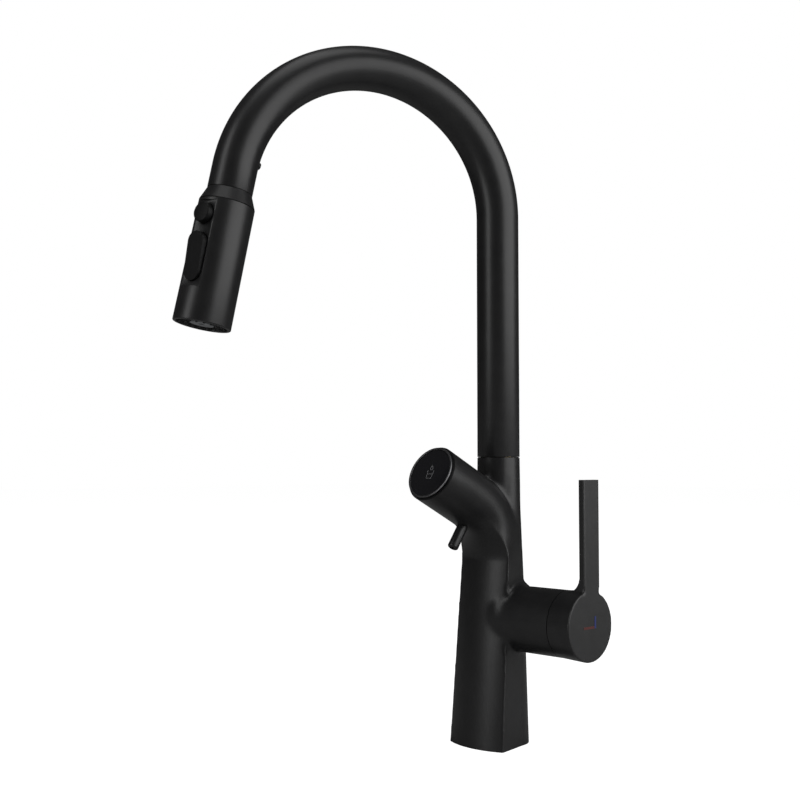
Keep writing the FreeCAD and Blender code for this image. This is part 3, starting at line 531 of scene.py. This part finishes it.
def bent_skin(name, radius, start, top, sweep, tail, steps, sides):
    """The outer skin of a bar that rises, bends over the arc and may run on straight."""
    drop_selection()
    bpy.ops.mesh.primitive_circle_add(vertices=sides, radius=radius, location=(0.0, 0.0, start))
    bpy.ops.object.transform_apply(location=True)
    skin = bpy.context.object
    skin.name = name
    bpy.ops.object.mode_set(mode="EDIT")
    bpy.ops.mesh.select_all(action="SELECT")
    bpy.ops.mesh.extrude_region_move(TRANSFORM_OT_translate={"value": (0.0, 0.0, top - start)})
    bpy.ops.mesh.spin(steps=steps, angle=-sweep, center=ARC_CENTRE, axis=ARC_AXIS)
    if tail > 0.0:
        bpy.ops.mesh.extrude_region_move(TRANSFORM_OT_translate={"value": HEAD_DOWN * tail})
    bpy.ops.mesh.select_all(action="SELECT")
    bpy.ops.mesh.normals_make_consistent(inside=False)
    bpy.ops.object.mode_set(mode="OBJECT")
    return skin


def thicken(piece, wall):
    """Gives an open skin a wall on its inner side."""
    drop_selection()
    bpy.context.view_layer.objects.active = piece
    piece.select_set(True)
    shell = piece.modifiers.new("wall", "SOLIDIFY")
    shell.thickness = wall
    shell.offset = -1.0
    shell.use_even_offset = True
    bpy.ops.object.modifier_apply(modifier="wall")


def soften_edges(piece, width, segments, angle=35.0):
    """Breaks the sharp edges of a piece, as machining and coating do."""
    drop_selection()
    bpy.context.view_layer.objects.active = piece
    piece.select_set(True)
    rounding = piece.modifiers.new("rounding", "BEVEL")
    rounding.width = width
    rounding.segments = segments
    rounding.limit_method = "ANGLE"
    rounding.angle_limit = math.radians(angle)
    rounding.harden_normals = False
    bpy.ops.object.modifier_apply(modifier="rounding")


def hand_over(piece, finish, body, *nodes):
    """Gives a finished piece its material, its body and the CAD nodes that it stands for."""
    piece.data.materials.clear()
    piece.data.materials.append(FINISHES[finish])
    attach(piece, body)
    if nodes:
        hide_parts(*nodes)


gooseneck = bent_skin("gooseneck", TUBE_RADIUS, TUBE_START, ARC_HEIGHT, ARC_SWEEP, END_LENGTH, 110, 96)
thicken(gooseneck, TUBE_WALL)
soften_edges(gooseneck, 0.00025, 2, 60.0)
finish_smooth(gooseneck)
hand_over(gooseneck, "black_coat", "spout", "gooseneck_tube")


# ---------------------------------------------------------------------------
# Lever: one zinc casting, a deep disc that turns on the cartridge stem with a
# flat arm rising flush with its face and running into the disc by soft fillets.
# ---------------------------------------------------------------------------
LEVER_START, LEVER_FACE, ARM_HALF_WIDTH, ARM_THICKNESS = 0.0570, 0.0744, 0.0076, 0.0044
ARM_SHIFT, ARM_RISE, ARM_FILLET = 0.0020, 0.0903, 0.0090
LEVER_RADIUS, LEVER_RIM = 0.0220, 0.0017


def solid_block(name, low, high):
    """A plain rectangular block between two corners."""
    drop_selection()
    low, high = Vector(low), Vector(high)
    bpy.ops.mesh.primitive_cube_add(size=1.0, location=(low + high) / 2)
    block = bpy.context.object
    block.name = name
    block.scale = high - low
    bpy.ops.object.transform_apply(location=True, scale=True)
    return block


drop_selection()
bpy.ops.mesh.primitive_cone_add(vertices=160, radius1=BOSS_RADIUS, radius2=LEVER_RADIUS,
                                depth=LEVER_FACE - LEVER_START,
                                location=((LEVER_START + LEVER_FACE) / 2, 0.0, BOSS_HEIGHT),
                                rotation=(0.0, math.pi / 2, 0.0))
bpy.ops.object.transform_apply(location=True, rotation=True)
lever = bpy.context.object
lever.name = "lever"
hub_back = solid_rod("hub_back", Vector((LEVER_START - 0.003, 0, BOSS_HEIGHT)), RIGHT, BOSS_RADIUS, 0.0031, 160)
combine(lever, hub_back, "UNION")
soften_edges(lever, LEVER_RIM, 5)
arm_low, arm_high = ARM_SHIFT - ARM_HALF_WIDTH, ARM_SHIFT + ARM_HALF_WIDTH
arm = solid_block("arm", (LEVER_FACE - ARM_THICKNESS, arm_low, BOSS_HEIGHT),
                  (LEVER_FACE, arm_high, BOSS_HEIGHT + ARM_RISE + 0.001))
combine(lever, arm, "UNION")
heel_back, heel_foot = LEVER_FACE - ARM_THICKNESS - ARM_FILLET, BOSS_HEIGHT + BOSS_RADIUS
heel = solid_block("heel", (heel_back, arm_low, heel_foot - 0.004),
                   (LEVER_FACE - 0.002, arm_high, heel_foot + ARM_FILLET))
combine(heel, solid_rod("heel_hollow", Vector((heel_back, -0.03, heel_foot + ARM_FILLET)), -FRONT, ARM_FILLET, 0.06),
        "DIFFERENCE")
combine(lever, heel, "UNION")
remesh_fine(lever, 0.00055)


def lever_root_weight(point):
    """1 where the arm's sides run into the disc, falling away over a few millimetres."""
    side = min(abs(point.y - arm_low), abs(point.y - arm_high))
    rise = math.hypot(point.y, point.z - BOSS_HEIGHT) - LEVER_RADIUS
    if point.z < BOSS_HEIGHT:
        return 0.0
    return near_two(side, rise, 0.0034)


relax(lever, 26, lever_root_weight)
relax(lever, 3)
slice_off(lever, (LEVER_START, 0, 0), (-1, 0, 0))
slice_off(lever, (0, 0, BOSS_HEIGHT + ARM_RISE), (0, 0, 1))
hub_hollow = solid_rod("hub_hollow", Vector((LEVER_START - 0.001, 0, BOSS_HEIGHT)), RIGHT, 0.0184, 0.010)
combine(lever, hub_hollow, "DIFFERENCE")
combine(lever, solid_rod("screw_hole", Vector((0.0615, 0, BOSS_HEIGHT - 0.03)), UP, 0.0021, 0.02, 32), "DIFFERENCE")
soften_edges(lever, 0.00045, 2, 50.0)
finish_smooth(lever, 35.0)
hand_over(lever, "grey_coat", "lever", "lever_handle")


# ---------------------------------------------------------------------------
# Filter button: a glossy round cap in a bright trim ring, which stands on a
# skirt in the barrel's mouth. A small tumbler and drop are printed on the cap.
# ---------------------------------------------------------------------------
CAP_RADIUS, TRIM_RADIUS, SKIRT_RADIUS = 0.0160, 0.0173, 0.0165
CAP_BACK, CAP_FACE, TRIM_DEPTH = 0.0046, 0.0005, 0.0008

cap = solid_rod("button_cap", RING_PLACE - BARREL_OUT * CAP_BACK, BARREL_OUT, CAP_RADIUS, CAP_BACK - CAP_FACE)
soften_edges(cap, 0.0003, 3)
finish_smooth(cap)
hand_over(cap, "gloss_cap", "filter_button", "filter_button")

trim = solid_rod("button_trim", RING_PLACE - BARREL_OUT * TRIM_DEPTH, BARREL_OUT, TRIM_RADIUS, TRIM_DEPTH)
combine(trim, solid_rod("trim_skirt", RING_PLACE - BARREL_OUT * 0.0044, BARREL_OUT, SKIRT_RADIUS, 0.004), "UNION")
combine(trim, solid_rod("trim_bore", RING_PLACE - BARREL_OUT * 0.006, BARREL_OUT, CAP_RADIUS + 0.00005, 0.01),
        "DIFFERENCE")
soften_edges(trim, 0.00016, 2)
finish_smooth(trim)
hand_over(trim, "trim", "filter_button", "button_ring")

ICON_UP = Vector((0.0, -math.sin(BARREL_RISE), -math.cos(BARREL_RISE))) * -1


def icon_stroke(name, points, closed):
    """A thin printed line through points given in millimetres across and up on the cap."""
    curve = bpy.data.curves.new(name, "CURVE")
    curve.dimensions = "3D"
    curve.bevel_depth = 0.00024
    curve.bevel_resolution = 2
    line = curve.splines.new("POLY")
    line.points.add(len(points) - 1)
    for knot, (across, rise) in zip(line.points, points):
        place = RING_PLACE - BARREL_OUT * (CAP_FACE + 0.00012) + (RIGHT * across + ICON_UP * rise) * 0.001
        knot.co = (*place, 1.0)
    line.use_cyclic_u = closed
    stroke = bpy.data.objects.new(name, curve)
    bpy.context.collection.objects.link(stroke)
    return stroke


tumbler = icon_stroke("tumbler", [(-2.6, 1.6), (-2.0, -3.9), (2.0, -3.9), (2.6, 1.6)], False)
level = icon_stroke("water_level", [(-2.25, -0.9), (2.25, -0.9)], False)
drop_outline = [(0.0, 5.0)] + [(1.05 * math.sin(math.radians(angle)), 2.9 - 1.05 * math.cos(math.radians(angle)))
                               for angle in range(125, -126, -25)]
drop = icon_stroke("water_drop", drop_outline, True)
drop_selection()
for stroke in (level, drop, tumbler):
    stroke.select_set(True)
    bpy.context.view_layer.objects.active = stroke
bpy.ops.object.convert(target="MESH")
bpy.ops.object.join()
icon = bpy.context.object
icon.name = "button_icon"
FINISHES["icon_print"] = surface_finish("icon_print", (0.20, 0.20, 0.21), (0.25, 0.25, 0.26), 0.5)
icon.data.materials.clear()
icon.data.materials.append(FINISHES["icon_print"])
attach(icon, "filter_button")


# ---------------------------------------------------------------------------
# Filtered-water outlet: a short straight tube angled down under the barrel, its
# mouth rounded over, with a bore through it.
# ---------------------------------------------------------------------------
OUTLET_FALL = math.radians(54.0)
OUTLET_OUT = Vector((0.0, -math.cos(OUTLET_FALL), -math.sin(OUTLET_FALL)))
OUTLET_MOUTH = Vector((0.0, -0.0449, 0.1283))
OUTLET_LENGTH, OUTLET_RADIUS, OUTLET_BORE = 0.0215, 0.0035, 0.0025

outlet = solid_rod("outlet", OUTLET_MOUTH - OUTLET_OUT * OUTLET_LENGTH, OUTLET_OUT, OUTLET_RADIUS, OUTLET_LENGTH, 64)
soften_edges(outlet, 0.0012, 5)
combine(outlet, solid_rod("outlet_bore", OUTLET_MOUTH - OUTLET_OUT * 0.03, OUTLET_OUT,
                          OUTLET_BORE - 0.0003, 0.04, 48),
        "DIFFERENCE")
finish_smooth(outlet)
hand_over(outlet, "black_coat", "faucet_body", "filter_outlet_tube")


# ---------------------------------------------------------------------------
# Spray head: a slightly tapered sleeve under a cone that continues the tube's
# line. A shallow flat on its front carries the round button and the long rocker.
# ---------------------------------------------------------------------------
FACET_OUT = Vector((0.19987339, -0.96569723, 0.16576939))
HEAD_SIDE = HEAD_DOWN.cross(FACET_OUT)
HEAD_FRAME = Matrix.Translation(TUBE_END) @ Matrix((FACET_OUT, HEAD_SIDE, HEAD_DOWN)).transposed().to_4x4()
HEAD_TOP_RADIUS, HEAD_LOW_RADIUS, HEAD_LENGTH, HEAD_WALL = 0.0173, 0.0179, 0.0848, 0.0020
SLEEVE_TOP = 0.0086
FACET_DISTANCE, FACET_LOW, FACET_END = 0.0159, 0.0106, 0.0645
ROUND_PLACE, ROUND_RADIUS, BUTTON_STAND, ROCKER_LOW_STAND = 0.0192, 0.0062, 0.0042, 0.0013
ROCKER_PLACE, ROCKER_LENGTH, ROCKER_WIDTH = 0.0463, 0.0300, 0.0124
HEAD_ALONG, HEAD_ACROSS = Vector((0, 0, 1)), Vector((1, 0, 0))


def taper(name, low, high, low_radius, high_radius, sides=144):
    """A bar whose radius changes evenly along its own Z axis."""
    drop_selection()
    bpy.ops.mesh.primitive_cone_add(vertices=sides, radius1=low_radius, radius2=high_radius, depth=high - low,
                                    location=(0.0, 0.0, (low + high) / 2))
    bpy.ops.object.transform_apply(location=True)
    bar = bpy.context.object
    bar.name = name
    return bar


def round_ended(name, margin, start, end):
    """A long block with round ends at the rocker's place, standing along the facet's direction."""
    half_width = ROCKER_WIDTH / 2 + margin
    half_run = ROCKER_LENGTH / 2 - ROCKER_WIDTH / 2
    block = solid_block(name, (start, -half_width, ROCKER_PLACE - half_run),
                        (end, half_width, ROCKER_PLACE + half_run))
    for offset in (-half_run, half_run):
        end_rod = solid_rod("round_end", Vector((start, 0, ROCKER_PLACE + offset)), HEAD_ACROSS, half_width,
                            end - start, 64)
        combine(block, end_rod, "UNION")
    return block


sleeve = taper("head_sleeve", SLEEVE_TOP, HEAD_LENGTH, HEAD_TOP_RADIUS, HEAD_LOW_RADIUS)
soften_edges(sleeve, 0.0007, 3, 60.0)
combine(sleeve, solid_block("facet_cut", (FACET_DISTANCE, -0.02, FACET_LOW), (0.03, 0.02, FACET_END)), "DIFFERENCE")
combine(sleeve, taper("sleeve_bore", SLEEVE_TOP - 0.001, HEAD_LENGTH + 0.001, HEAD_TOP_RADIUS - HEAD_WALL,
                      HEAD_LOW_RADIUS - HEAD_WALL), "DIFFERENCE")
combine(sleeve, solid_block("facet_backing", (FACET_DISTANCE - 0.0022, -0.0078, FACET_LOW),
                            (FACET_DISTANCE - 0.0004, 0.0078, FACET_END)), "UNION")
combine(sleeve, solid_rod("round_seat", Vector((0.012, 0, ROUND_PLACE)), HEAD_ACROSS,
                          ROUND_RADIUS + 0.0003, 0.01, 96),
        "DIFFERENCE")
combine(sleeve, round_ended("rocker_seat", 0.00035, 0.012, 0.022), "DIFFERENCE")
soften_edges(sleeve, 0.00022, 2, 30.0)
sleeve.data.transform(HEAD_FRAME)
finish_smooth(sleeve, 25.0)
hand_over(sleeve, "black_coat", "spray_head", "spray_shell")

press = solid_rod("round_press", Vector((0.0126, 0, ROUND_PLACE)), HEAD_ACROSS, ROUND_RADIUS,
                  FACET_DISTANCE + BUTTON_STAND - 0.0126, 96)
soften_edges(press, 0.0009, 4)
press.data.transform(HEAD_FRAME)
finish_smooth(press)
hand_over(press, "black_plastic", "round_button", "round_button")

toggle = round_ended("rocker_pad", 0.0, 0.0114, FACET_DISTANCE + BUTTON_STAND)
slope = math.atan2(BUTTON_STAND - ROCKER_LOW_STAND, ROCKER_LENGTH)
slice_off(toggle, (FACET_DISTANCE + BUTTON_STAND, 0, ROCKER_PLACE - ROCKER_LENGTH / 2),
          (math.cos(slope), 0, math.sin(slope)))
soften_edges(toggle, 0.0011, 4)
toggle.data.transform(HEAD_FRAME)
finish_smooth(toggle)
hand_over(toggle, "black_plastic", "rocker", "rocker_switch")


# ---------------------------------------------------------------------------
# Pull-out hose: rubber under a woven nylon braid, 9 mm across. It climbs the
# column, follows the arc and is drawn out of the tube's end behind the head.
# ---------------------------------------------------------------------------
HOSE_RADIUS, HOSE_LOW = 0.0045, 0.013
DRAWN_TOP, DRAWN_START, DRAWN_END, HOSE_END = 0.040, 0.036, 0.027, 0.0255


def arc_angle(above_end):
    """How far round the arc a point lies, given its distance back from the tube's end."""
    return ARC_SWEEP - (above_end - END_LENGTH) / ARC_RADIUS


def arc_point(angle):
    return ARC_CENTRE + (UP * math.sin(angle) - OUTWARD * math.cos(angle)) * ARC_RADIUS


def braid_finish():
    """Crossed yarns over the hose, laid out along its own length and girth."""
    paint = surface_finish("hose_braid_woven", (0.020, 0.020, 0.021), (0.045, 0.045, 0.047), 0.6,
                           grain=900.0, depth=0.2)
    nodes, links = paint.node_tree.nodes, paint.node_tree.links
    lay = nodes.new("ShaderNodeUVMap")
    lay.uv_map = "braid"
    heights = []
    for lean in (1.0, -1.0):
        turn = nodes.new("ShaderNodeMapping")
        turn.inputs["Rotation"].default_value = (0.0, 0.0, math.radians(40.0) * lean)
        links.new(lay.outputs["UV"], turn.inputs["Vector"])
        yarn = nodes.new("ShaderNodeTexWave")
        yarn.inputs["Scale"].default_value = 330.0
        links.new(turn.outputs["Vector"], yarn.inputs["Vector"])
        heights.append(yarn)
    woven = nodes.new("ShaderNodeMath")
    woven.operation = "MAXIMUM"
    links.new(heights[0].outputs["Fac"], woven.inputs[0])
    links.new(heights[1].outputs["Fac"], woven.inputs[1])
    relief = nodes.new("ShaderNodeBump")
    relief.inputs["Strength"].default_value = 0.8
    relief.inputs["Distance"].default_value = 0.0006
    links.new(woven.outputs["Value"], relief.inputs["Height"])
    links.new(relief.outputs["Normal"], nodes["Principled BSDF"].inputs["Normal"])
    return paint


def lay_out_braid(piece, rings, sides, lengths):
    """Gives a hose its own lay-out: girth one way and true length the other, in metres."""
    lay = piece.data.uv_layers.new(name="braid")
    girth = math.tau * HOSE_RADIUS
    for face in piece.data.polygons:
        corners = [(vertex // sides, vertex % sides) for vertex in face.vertices]
        wraps = max(side for ring, side in corners) - min(side for ring, side in corners) > 1
        for loop, (ring, side) in zip(face.loop_indices, corners):
            around = side + sides if wraps and side == 0 else side
            lay.data[loop].uv = (girth * around / sides, lengths[min(ring, rings - 1)])


def hose_skin(name, stations, lengths, sides=32):
    """A tube through (place, direction) stations, with its lay-out."""
    skin = bmesh.new()
    rows = []
    for place, heading in stations:
        ahead = ARC_AXIS.cross(heading)
        rows.append([skin.verts.new(place + (ARC_AXIS * math.cos(math.tau * k / sides)
                                             + ahead * math.sin(math.tau * k / sides)) * HOSE_RADIUS)
                     for k in range(sides)])
    for low, high in zip(rows, rows[1:]):
        for index in range(sides):
            after = (index + 1) % sides
            skin.faces.new((low[index], low[after], high[after], high[index]))
    bmesh.ops.recalc_face_normals(skin, faces=skin.faces)
    skin.verts.index_update()
    mesh = bpy.data.meshes.new(name)
    skin.to_mesh(mesh)
    skin.free()
    hose = bpy.data.objects.new(name, mesh)
    bpy.context.collection.objects.link(hose)
    lay_out_braid(hose, len(stations), sides, lengths)
    thicken(hose, 0.0014)
    finish_smooth(hose)
    return hose


def arc_station(angle):
    return arc_point(angle), UP * math.cos(angle) + OUTWARD * math.sin(angle)


FINISHES["hose_braid"] = braid_finish()
riser_steps, bend_steps, drawn_steps = 60, 90, 140
standing = [(UP * (HOSE_LOW + (ARC_HEIGHT - HOSE_LOW) * step / riser_steps), UP.copy())
            for step in range(riser_steps)]
standing += [arc_station(arc_angle(DRAWN_TOP) * step / bend_steps) for step in range(bend_steps + 1)]
standing_lengths = [(ARC_HEIGHT - HOSE_LOW) * step / riser_steps for step in range(riser_steps)]
standing_lengths += [ARC_HEIGHT - HOSE_LOW + ARC_RADIUS * arc_angle(DRAWN_TOP) * step / bend_steps
                     for step in range(bend_steps + 1)]
standing_hose = hose_skin("hose_in_column", standing, standing_lengths)
hand_over(standing_hose, "hose_braid", "spout", "pull_hose")

PULL = 0.24
drawn, drawn_lengths, paid_out = [], [], standing_lengths[-1]
for step in range(drawn_steps + 1):
    above = DRAWN_TOP + (HOSE_END - DRAWN_TOP) * step / drawn_steps
    share = min(max((DRAWN_START - above) / (DRAWN_START - DRAWN_END), 0.0), 1.0)
    drawn.append(arc_station(arc_angle(above)))
    drawn_lengths.append(paid_out + (DRAWN_TOP - above) + PULL * share * share * (3 - 2 * share))
drawn_hose = hose_skin("hose_drawn_out", drawn, drawn_lengths)
drawn_hose.data.materials.append(FINISHES["hose_braid"])
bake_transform(drawn_hose)


# ---------------------------------------------------------------------------
# Return spring of the filter button: six turns of stainless wire between the
# cap's back and the valve, where the CAD part is a plain ring.
# ---------------------------------------------------------------------------
SPRING_MEAN, SPRING_WIRE, SPRING_FRONT, SPRING_BACK, SPRING_TURNS = 0.0062, 0.0005, 0.0058, 0.0213, 6

drop_selection()
bpy.ops.mesh.primitive_circle_add(vertices=12, radius=SPRING_WIRE, location=(SPRING_MEAN, 0.0, 0.0),
                                  rotation=(math.pi / 2, 0.0, 0.0))
bpy.ops.object.transform_apply(location=True, rotation=True)
spring = bpy.context.object
spring.name = "button_spring"
coil = spring.modifiers.new("coil", "SCREW")
coil.angle = math.tau
coil.iterations = SPRING_TURNS
coil.screw_offset = (SPRING_BACK - SPRING_FRONT) / SPRING_TURNS
coil.steps = 32
coil.render_steps = 32
bpy.ops.object.modifier_apply(modifier="coil")
bpy.ops.object.mode_set(mode="EDIT")
bpy.ops.mesh.select_all(action="DESELECT")
bpy.ops.mesh.select_non_manifold()
bpy.ops.mesh.edge_face_add()
bpy.ops.mesh.select_all(action="SELECT")
bpy.ops.mesh.normals_make_consistent(inside=False)
bpy.ops.object.mode_set(mode="OBJECT")
spring.data.transform(Matrix.Translation(RING_PLACE - BARREL_OUT * SPRING_FRONT)
                      @ (-BARREL_OUT).to_track_quat("Z", "Y").to_matrix().to_4x4())
finish_smooth(spring)
hand_over(spring, "steel", "faucet_body", "push_valve_spring")
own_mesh(spring)
